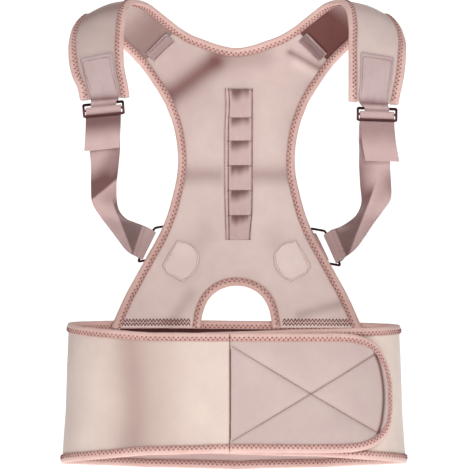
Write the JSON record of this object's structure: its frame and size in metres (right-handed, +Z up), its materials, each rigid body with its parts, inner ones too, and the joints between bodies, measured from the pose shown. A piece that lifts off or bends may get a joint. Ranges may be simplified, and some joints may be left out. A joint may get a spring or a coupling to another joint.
{
  "type": "posture corrector",
  "caption": "Padded back brace with an hourglass back panel, padded shoulder straps, webbing with sliders and wire rings, and a wide waist belt with a rounded closure flap.",
  "frame": {"origin": "centre of the waist opening at the middle height of the belt's front", "axes": "+Z up along the back, the wearer faces -Y, +X is the wearer's left"},
  "size_m": [0.3294, 0.2054, 0.4534],
  "materials": {
    "padded_cloth": "smooth knit over foam",
    "edge_tape": "folded elastic tape with zigzag stitches",
    "webbing": "satin webbing",
    "velvet": "soft brushed cloth",
    "dark_metal": "dark gloss"
  },
  "bodies": {
    "root": {"back_panel": "padded_cloth", "belt_band": "padded_cloth", "binding_arch": "edge_tape", "binding_belt_bottom": "edge_tape", "binding_belt_top": "edge_tape", "binding_flap": "edge_tape", "binding_neck": "edge_tape", "binding_side_left": "edge_tape", "binding_side_right": "edge_tape", "closure_flap": "padded_cloth", "join_band_left": "padded_cloth", "join_band_right": "padded_cloth", "magnet_strip": "velvet", "ring_left": "dark_metal", "ring_right": "dark_metal", "ring_tab_left": "webbing", "ring_tab_right": "webbing", "side_patch_left": "padded_cloth", "side_patch_right": "padded_cloth", "slider_left": "dark_metal", "slider_right": "dark_metal", "strap_end_left": "padded_cloth", "strap_end_right": "padded_cloth", "strap_left": "padded_cloth", "strap_right": "padded_cloth", "webbing_left": "webbing", "webbing_right": "webbing"}
  },
  "joints": []
}
